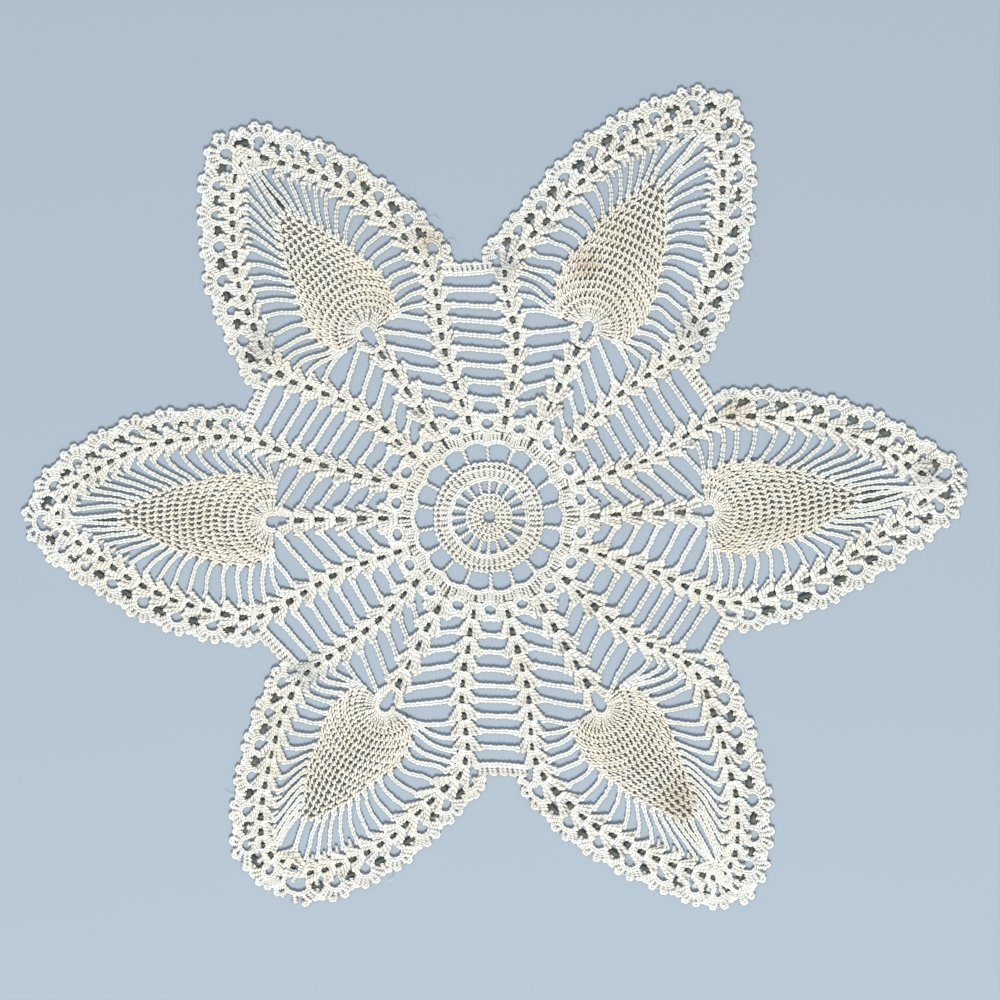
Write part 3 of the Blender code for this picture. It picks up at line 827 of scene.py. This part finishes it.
def stitch_tree():
    """Puts the worked stitch of its kind at every point, then bends the threads a little."""
    tree = bpy.data.node_groups.new("worked stitches", "GeometryNodeTree")
    for name, kind in (("Points", "Geometry"), ("Kinds", "Collection"), ("Unevenness", "Float"),
                       ("Wave", "Float"), ("Drift", "Float"), ("Seed", "Int"),
                       ("Cotton", "Material")):
        tree.interface.new_socket(name, in_out="INPUT", socket_type="NodeSocket" + kind)
    tree.interface.new_socket("Cloth", in_out="OUTPUT", socket_type="NodeSocketGeometry")
    given = wired(tree, "NodeGroupInput", {})

    def stored(name, kind):
        return wired(tree, "GeometryNodeInputNamedAttribute", {"Name": name},
                     data_type=kind)["Attribute"]

    def strayed(mesh, wave, reach, height_share):
        """Moves every point by a smooth noise of this wave and reach."""
        noise = wired(tree, "ShaderNodeTexNoise",
                      {"Scale": wave, "W": given["Seed"], "Detail": 1.0}, noise_dimensions="4D")
        offset = noise["Color"]
        for step, inputs in (("SUBTRACT", {1: NOISE_MIDDLE}), ("SCALE", {"Scale": reach}),
                             ("MULTIPLY", {1: (1.0, 1.0, height_share)})):
            offset = wired(tree, "ShaderNodeVectorMath", {0: offset, **inputs}, operation=step)[0]
        return wired(tree, "GeometryNodeSetPosition", {"Geometry": mesh, "Offset": offset})[0]

    kinds = wired(tree, "GeometryNodeCollectionInfo", {
        "Collection": given["Kinds"], "Separate Children": True, "Reset Children": True})
    turn = wired(tree, "FunctionNodeEulerToRotation", {"Euler": stored("turn", "FLOAT_VECTOR")})
    placed = wired(tree, "GeometryNodeInstanceOnPoints", {
        "Points": given["Points"], "Instance": kinds[0], "Pick Instance": True,
        "Instance Index": stored("kind", "INT"), "Rotation": turn[0],
        "Scale": stored("size", "FLOAT_VECTOR")})
    cloth = wired(tree, "GeometryNodeRealizeInstances", {"Geometry": placed[0]})[0]
    cloth = strayed(cloth, given["Wave"], given["Unevenness"], HEIGHT_SHARE)
    cloth = strayed(cloth, figured(tree, "DIVIDE", given["Wave"], DRIFT_WAVES), given["Drift"], 0.0)
    cloth = wired(tree, "GeometryNodeSetMaterial",
                  {"Geometry": cloth, "Material": given["Cotton"]})[0]
    wired(tree, "NodeGroupOutput", {"Cloth": cloth})
    return tree


BAKE_LEAN = (0.35, 0.2)         # how far a point's height moves it in the bake's map


def bake_map(mesh):
    """A map that lays the piece out as it lies, leaned a little so that no side has zero width."""
    points = np.empty(3 * len(mesh.vertices))
    mesh.vertices.foreach_get("co", points)
    points = points.reshape(-1, 3)
    flat = points[:, :2] + points[:, 2:] * np.array(BAKE_LEAN)
    flat = (flat - flat.min(axis=0)) / (flat.max(axis=0) - flat.min(axis=0)).max()
    corner = np.empty(len(mesh.loops), dtype=np.int32)
    mesh.loops.foreach_get("vertex_index", corner)
    layer = mesh.uv_layers.new(name="OFBake")
    layer.data.foreach_set("uv", flat[corner].ravel())


def put(name, data):
    """A new object in the scene."""
    thing = bpy.data.objects.new(name, data)
    bpy.context.scene.collection.objects.link(thing)
    return thing


def worked(work, tree, kinds, material):
    """The stitches of one part as a plain mesh."""
    points = bpy.data.meshes.new(work.name)
    points.from_pydata([[MM * value for value in place] for place in work.places], [], [])
    for name, kind, values, entry in (("kind", "INT", work.kinds, "value"),
                                      ("turn", "FLOAT_VECTOR", work.turns, "vector"),
                                      ("size", "FLOAT_VECTOR", MM * np.array(work.sizes), "vector"),
                                      ("warmth", "FLOAT", work.warmth, "value"),
                                      ("tone", "FLOAT", work.tone, "value")):
        layer = points.attributes.new(name, kind, "POINT")
        layer.data.foreach_set(entry, np.array(values).ravel())
    source = put(work.name + " points", points)
    settings = {"Kinds": kinds, "Unevenness": UNEVENNESS * MM, "Wave": WAVE, "Drift": DRIFT * MM,
                "Seed": SEED, "Cotton": material}
    maker = source.modifiers.new("worked stitches", "NODES")
    maker.node_group = tree
    for socket in tree.interface.items_tree:
        if socket.name in settings:
            maker[socket.identifier] = settings[socket.name]
    graph = bpy.context.evaluated_depsgraph_get()
    mesh = bpy.data.meshes.new_from_object(source.evaluated_get(graph), depsgraph=graph,
                                           preserve_all_data_layers=True)
    bpy.data.objects.remove(source)
    mesh.name = work.name
    for name in ("kind", "turn", "size"):
        if name in mesh.attributes:
            mesh.attributes.remove(mesh.attributes[name])
    bake_map(mesh)
    return put(work.name, mesh)


# ---- cotton ----
WHITE_COTTON, WARM_COTTON = (0.875, 0.91, 0.885, 1), (0.9, 0.86, 0.75, 1)
YELLOWED = (0.93, 0.88, 0.78, 1)  # patches of the cloth
DULLER = (0.85, 0.82, 0.75, 1)  # single stitches
PAINTED_LOW_SHADE = (0.2, 0.165, 0.125, 1)  # painted shade low between the stitches
GROOVE_PAINTED_SHADE = (0.42, 0.36, 0.28, 1)  # painted shade where the thread goes round a stitch's body
PAINTED_HOLE_SHADE = (0.12, 0.135, 0.12, 1)  # painted shade: the one fixed colour of the threads laid in small holes
SHADE_FULL_BELOW, SHADE_GONE_ABOVE = 0.35, 1.12  # heights between which the painted shade low between the stitches fades out
PATCHES = 28.0                  # to a metre
PATCH_EDGE, PATCH_MOST = (0.45, 0.7), 0.5   # where the noise turns to a patch, and how strongly
DULL_MOST = 0.3
GROOVE_EDGE, GROOVE_MOST = (0.03, 0.27), 0.75   # turns from the deepest place of the painted groove shade, and how strongly
PLIES = 2
PLY_TURN = 0.8                  # along the thread, in the sizes that the stitches are drawn at
PLY_HEIGHT = 0.12
BROWN, GREY = (0.76, 0.67, 0.55, 1), (0.63, 0.67, 0.69, 1)
STAINS = (
    # place in the plan, reach, tint
    ((38.0, 98.0), 8.5, BROWN), ((76.9, -126.6), 11.0, BROWN), ((100.0, 37.2), 8.0, BROWN),
    ((-28.1, 108.6), 9.0, BROWN), ((3.4, 98.1), 9.0, GREY), ((-97.4, 64.5), 12.0, GREY),
    ((81.1, 71.6), 8.0, GREY), ((-80.6, -72.0), 9.0, GREY), ((181.9, 12.0), 9.0, GREY))
STAIN_RAGGED = 1.6              # how much the noise moves a stain's edge, share of its reach
STAIN_FULL, STAIN_GONE = 0.9, 1.9  # shares of its reach, the noise's own share counted in
STAIN_MOST = 0.8


def cotton():
    """Aged crochet cotton: plied, matt, cream to warm, with painted shade low between the stitches
    and in the grooves of its thread, and one colour of painted shade on threads in small holes.
    """
    material = bpy.data.materials.new("aged crochet cotton")
    material.use_nodes = True
    tree = material.node_tree

    def stored(name):
        return wired(tree, "ShaderNodeAttribute", {}, attribute_name=name)["Fac"]

    def blend(kind, factor, first, second):
        return wired(tree, "ShaderNodeMix", {0: factor, 6: first, 7: second}, data_type="RGBA",
                     blend_type=kind)[2]

    def fitted(*values):
        """A value laid from the span of the next two onto that of the last two, and held there."""
        return wired(tree, "ShaderNodeMapRange", dict(enumerate(values)))[0]

    here = wired(tree, "ShaderNodeTexCoord", {})["Object"]
    noise = wired(tree, "ShaderNodeTexNoise", {"Vector": here, "Scale": PATCHES})["Fac"]
    colour = blend("MIX", stored("warmth"), WHITE_COTTON, WARM_COTTON)
    colour = blend("MULTIPLY", fitted(noise, *PATCH_EDGE, 0.0, PATCH_MOST), colour, YELLOWED)
    colour = blend("MULTIPLY", fitted(stored("tone"), 0.0, 1.0, DULL_MOST, 0.0), colour, DULLER)
    for place, reach, tint in STAINS:
        centre = [MM * (a - b) for a, b in zip(place, PLAN_MIDDLE)] + [0.0]
        away = wired(tree, "ShaderNodeVectorMath", {0: here, 1: centre}, operation="DISTANCE")
        size = MM * reach
        ragged = figured(tree, "MULTIPLY_ADD", noise, STAIN_RAGGED * size, away["Value"])
        stained = fitted(ragged, STAIN_FULL * size, STAIN_GONE * size, STAIN_MOST, 0.0)
        colour = blend("MULTIPLY", stained, colour, tint)
    # painted shade: the lower a point lies between the stitches, the darker its cotton
    height = wired(tree, "ShaderNodeSeparateXYZ", {0: here})["Z"]
    low_shade = fitted(height, SHADE_FULL_BELOW * MM, SHADE_GONE_ABOVE * MM, 1.0, 0.0)
    colour = blend("MULTIPLY", low_shade, colour, PAINTED_LOW_SHADE)

    # the thread map: how far along a thread, and how far round it from its kind's first turn
    threads = wired(tree, "ShaderNodeUVMap", {}, uv_map="thread")
    run, turn, _ = wired(tree, "ShaderNodeSeparateXYZ", {0: threads["UV"]})
    # painted shade in the grooves where the thread goes round a stitch's body
    groove_shade = fitted(figured(tree, "PINGPONG", run, 0.5), *GROOVE_EDGE, GROOVE_MOST, 0.0)
    on_body = figured(tree, "LESS_THAN", turn, BODY_TURN + 1.5)
    colour = blend("MULTIPLY", figured(tree, "MULTIPLY", groove_shade, on_body), colour, GROOVE_PAINTED_SHADE)
    # threads laid in small holes and behind the pineapple's stitches take one fixed colour of
    # painted shade
    on_shade_thread = figured(tree, "GREATER_THAN", turn, SHADE_THREAD_TURN - 0.5)
    colour = blend("MIX", on_shade_thread, colour, PAINTED_HOLE_SHADE)
    along = figured(tree, "MULTIPLY", run, math.tau / PLY_TURN)
    around = figured(tree, "MULTIPLY", turn, PLIES * math.tau)
    plies = figured(tree, "SINE", figured(tree, "ADD", along, around))
    bump = wired(tree, "ShaderNodeBump",
                 {"Strength": 0.5, "Distance": PLY_HEIGHT * MM, "Height": plies})
    feed(tree, tree.nodes["Principled BSDF"], {
        "Base Color": colour, "Roughness": 0.88, "Specular IOR Level": 0.25, "Sheen Weight": 0.12,
        "Sheen Roughness": 0.5, "Normal": bump["Normal"]})
    return material


# ---- floor, light and camera ----
FLOOR_TINT = (0.36, 0.43, 0.49, 1)
FLOOR_HALF = 3.0                # this and the sizes below are in metres
LAMPS = (
    # name, place, width, power
    ("key light", (0.2, -2.4, 2.4), 1.4, 124.0),
    ("fill light", (-1.2, 1.8, 3.0), 2.8, 24.0),
)
SKY_TINT = (0.93, 0.96, 1.0, 1)
SKY_STRENGTH = 0.42
CAMERA_PLACE = (2.03 * MM, -1.03 * MM, 1.2)
VIEW_WIDTH = 0.42               # on the floor
SENSOR = 36.0


def floor():
    """A plain pale floor."""
    material = bpy.data.materials.new("pale floor")
    material.use_nodes = True
    tree = material.node_tree
    feed(tree, tree.nodes["Principled BSDF"], {"Base Color": FLOOR_TINT, "Roughness": 0.9})
    mesh = bpy.data.meshes.new("floor")
    corners = [(x * FLOOR_HALF, y * FLOOR_HALF, 0) for x, y in ((-1, -1), (1, -1), (1, 1), (-1, 1))]
    mesh.from_pydata(corners, [], [(0, 1, 2, 3)])
    mesh.materials.append(material)
    put("floor", mesh)


def studio_light():
    """A soft lamp in front of the doily and one behind, both turned to it, and a pale sky."""
    for name, place, width, power in LAMPS:
        light = bpy.data.lights.new(name, "AREA")
        light.shape, light.size, light.energy = "DISK", width, power
        holder = put(name, light)
        holder.location = place
        holder.rotation_euler = (-Vector(place)).to_track_quat("-Z", "Y").to_euler()
    sky = bpy.data.worlds.new("studio")
    sky.use_nodes = True
    feed(sky.node_tree, sky.node_tree.nodes["Background"],
         {"Color": SKY_TINT, "Strength": SKY_STRENGTH})
    bpy.context.scene.world = sky
    bpy.context.scene.view_settings.view_transform = "Standard"


def camera():
    """Straight over the doily, looking down."""
    view = bpy.data.cameras.new("camera")
    view.sensor_width = SENSOR
    view.lens = SENSOR * CAMERA_PLACE[2] / VIEW_WIDTH
    holder = put("camera", view)
    holder.location = CAMERA_PLACE
    bpy.context.scene.camera = holder


# ---- the whole cloth ----
MIDDLE_REACH = FIRST_BASE_SHELL + 1.0
EDGE_PARTS = 48


def flat_area(petal, following):
    """Area of a petal and its valley laid flat, gaps counted in and its edging left out."""
    far = [following.off_rim(row, SHELL_HALF) for row in range(2, VALLEY_ROW + 1)]
    runs = petal.edging()
    edge = [petal.off_rim(runs[0] + (runs[-1] - runs[0]) * part / EDGE_PARTS, SHELL_HALF)
            for part in range(EDGE_PARTS, -1, -1)]
    near = [petal.off_rim(row, SHELL_HALF) for row in range(VALLEY_ROW, 1, -1)]
    line = far + edge + near
    return abs(sum(a[0] * b[1] - b[0] * a[1] for a, b in zip(line, line[1:] + line[:1]))) / 2


def lay_cloth():
    petals = [Petal(index) for index in range(len(PETALS))]
    works = [Work("middle", SEED)]
    middle(works[0])
    sheets = [("middle", [], math.pi * MIDDLE_REACH ** 2)]
    for index, (petal, following) in enumerate(zip(petals, petals[1:] + petals[:1])):
        name = PETALS[index][0].replace(" ", "_")
        work = Work("petal_" + name, SEED + 1 + index)
        border = Work("edging_" + name, SEED - 1 - index)
        for form in (rim, base_column, pineapple, strands):
            form(work, petal)
        valley(work, petal, following)
        edging(border, petal)
        works += [work, border]
        sheets.append((work.name, [border.name], flat_area(petal, following)))
    tree, kinds, material = stitch_tree(), stitch_kinds(), cotton()
    pieces = {}
    for work in works:
        piece = worked(work, tree, kinds, material)
        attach(piece, "root")
        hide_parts("doily")
        pieces[work.name] = piece
    for name, borders, area in sheets:
        piece = pieces[name]
    for kind in list(kinds.objects):
        bpy.data.objects.remove(kind)
    bpy.data.collections.remove(kinds)


lay_cloth()
floor()
studio_light()
camera()
